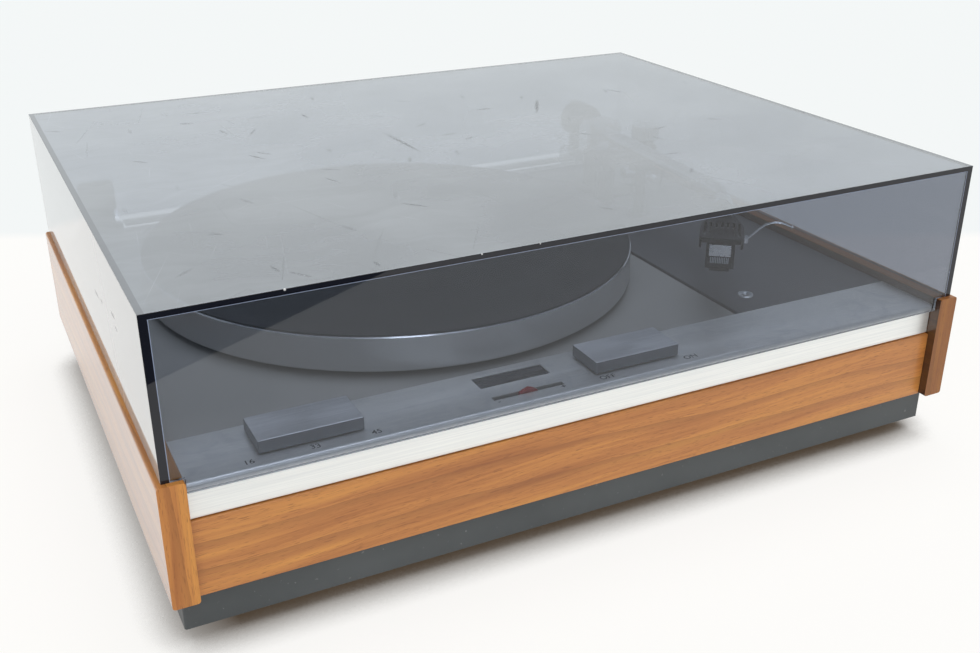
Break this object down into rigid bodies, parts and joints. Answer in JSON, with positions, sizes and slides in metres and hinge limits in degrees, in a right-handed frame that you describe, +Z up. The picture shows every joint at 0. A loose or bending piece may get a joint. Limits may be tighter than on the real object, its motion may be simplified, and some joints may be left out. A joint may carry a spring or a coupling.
{
  "type": "turntable",
  "caption": "Belt-driven record turntable: wooden plinth, sprung platter and arm board, bent arm and hinged smoked cover.",
  "frame": {"origin": "on the floor, under the middle of the outer box", "axes": "+X to the right seen from the front, +Y to the rear, +Z up"},
  "size_m": [0.465, 0.383, 0.1711],
  "materials": {
    "veneer": "satin oiled veneer",
    "black_wood": "matt black lacquer",
    "base_black": "satin dark grey lacquer",
    "hardboard": "bare hardboard",
    "rubber": "matt",
    "mat_rubber": "matt, fine rings",
    "grey_enamel": "satin grey enamel",
    "brushed_aluminium": "brushed along its length",
    "cast_aluminium": "as cast, sanded",
    "turned_aluminium": "turned, bright edge",
    "steel": "plated",
    "black_steel": "satin black",
    "chrome": "bright",
    "brass": "turned",
    "knob_aluminium": "anodised satin grey",
    "red_plastic": "moulded",
    "black_plastic": "moulded",
    "pale_plastic": "moulded",
    "window_glass": "dark clear acrylic",
    "mirror": "silvered",
    "circuit": "green board with parts",
    "smoke": "smoked clear acrylic, polished"
  },
  "bodies": {
    "plinth": {"plinth_side_left": "veneer", "plinth_side_right": "veneer", "plinth_front_panel": "veneer", "plinth_rear_panel": "black_wood", "base_frame": "base_black", "bottom_panel": "hardboard", "connector_plate": "steel", "mains_inlet": "black_plastic", "circuit_board": "circuit", "transformer": "black_steel", "foot_front_left": "rubber", "foot_front_right": "rubber", "foot_rear_left": "rubber", "foot_rear_right": "rubber", "deck_plate": "grey_enamel", "control_panel": "brushed_aluminium", "strobe_window": "window_glass", "strobe_mirror": "mirror", "strobe_lamp": "pale_plastic", "speed_switch": "black_plastic", "power_switch": "black_plastic", "pitch_potentiometer": "black_plastic", "motor": "steel", "suspension_bolt_left": "steel", "suspension_bolt_rear": "steel", "suspension_bolt_front": "steel", "suspension_spring_left": "steel", "suspension_spring_rear": "steel", "suspension_spring_front": "steel", "hinge_bracket_left": "steel", "hinge_bracket_right": "steel"},
    "platter": {"inner_platter": "cast_aluminium", "outer_platter": "turned_aluminium", "platter_mat": "mat_rubber"},
    "float": {"inner_frame": "cast_aluminium", "bearing_housing": "steel", "armboard": "black_wood", "armboard_eyelet": "chrome", "arm_base": "black_steel", "arm_rest": "black_plastic", "drive_belt": "rubber"},
    "yoke": {"arm_yoke": "black_steel"},
    "arm": {"arm_tube": "turned_aluminium", "headshell": "black_plastic", "finger_lift": "steel", "cartridge": "pale_plastic", "stylus": "black_plastic"},
    "weight": {"counterweight": "black_steel"},
    "dial": {"antiskate_dial": "knob_aluminium"},
    "lift": {"cue_platform": "black_steel"},
    "lever": {"cue_lever": "black_steel"},
    "pulley": {"motor_pulley": "brass"},
    "speed_key": {"speed_knob": "knob_aluminium"},
    "power_key": {"power_knob": "knob_aluminium"},
    "pitch_key": {"pitch_knob": "red_plastic"},
    "cover": {"dust_cover": "smoke", "hinge_leaf_left": "steel", "hinge_leaf_right": "steel"}
  },
  "joints": [
    {"name": "cover_hinge", "type": "hinge", "parent": "plinth", "child": "cover", "pos_m": [0, 0.1845, 0.0881], "axis": [-1, 0, 0], "range_deg": [0, 70]},
    {"name": "suspension_bounce", "type": "slide", "parent": "plinth", "child": "float", "axis": [0, 0, 1], "range_m": [-0.002, 0.002], "stiffness_N_per_m": 2500, "springref_m": 0.0128, "deforming": ["suspension_spring_left", "suspension_spring_rear", "suspension_spring_front"]},
    {"name": "platter_spin", "type": "hinge", "parent": "float", "child": "platter", "pos_m": [-0.044, 0.012, 0.105], "axis": [0, 0, -1], "continuous": true},
    {"name": "motor_spin", "type": "hinge", "parent": "plinth", "child": "pulley", "pos_m": [-0.12, -0.0615, 0.096], "axis": [0, 0, -1], "continuous": true},
    {"name": "arm_swing", "type": "hinge", "parent": "float", "child": "yoke", "pos_m": [0.156, 0.0865, 0.119], "axis": [0, 0, -1], "range_deg": [0, 42]},
    {"name": "arm_tilt", "type": "hinge", "parent": "yoke", "child": "arm", "pos_m": [0.156, 0.0865, 0.134], "axis": [-0.9978, 0.0663, 0], "range_deg": [-0.2, 4.5]},
    {"name": "counterweight_slide", "type": "slide", "parent": "arm", "child": "weight", "axis": [0.0663, 0.9978, 0], "range_m": [0, 0.008]},
    {"name": "antiskate_turn", "type": "hinge", "parent": "float", "child": "dial", "pos_m": [0.20106, 0.09353, 0.125], "axis": [0, 0, 1], "range_deg": [0, 270]},
    {"name": "cue_lever_turn", "type": "hinge", "parent": "float", "child": "lever", "pos_m": [0.17353, 0.07131, 0.103], "axis": [-0.9978, 0.0663, 0], "range_deg": [0, 40]},
    {"name": "cue_lift", "type": "slide", "parent": "float", "child": "lift", "axis": [0, 0, 1], "range_m": [0, 0.0022]},
    {"name": "speed_slide", "type": "slide", "parent": "plinth", "child": "speed_key", "axis": [1, 0, 0], "range_m": [-0.009, 0.009]},
    {"name": "power_slide", "type": "slide", "parent": "plinth", "child": "power_key", "axis": [1, 0, 0], "range_m": [0, 0.009]},
    {"name": "pitch_slide", "type": "slide", "parent": "plinth", "child": "pitch_key", "axis": [1, 0, 0], "range_m": [-0.014, 0.014]}
  ],
  "couplings": [
    {"joint": "motor_spin", "follows": "platter_spin", "ratio": 7.242},
    {"joint": "cue_lever_turn", "follows": "cue_lift", "rad_per_m": 317}
  ]
}
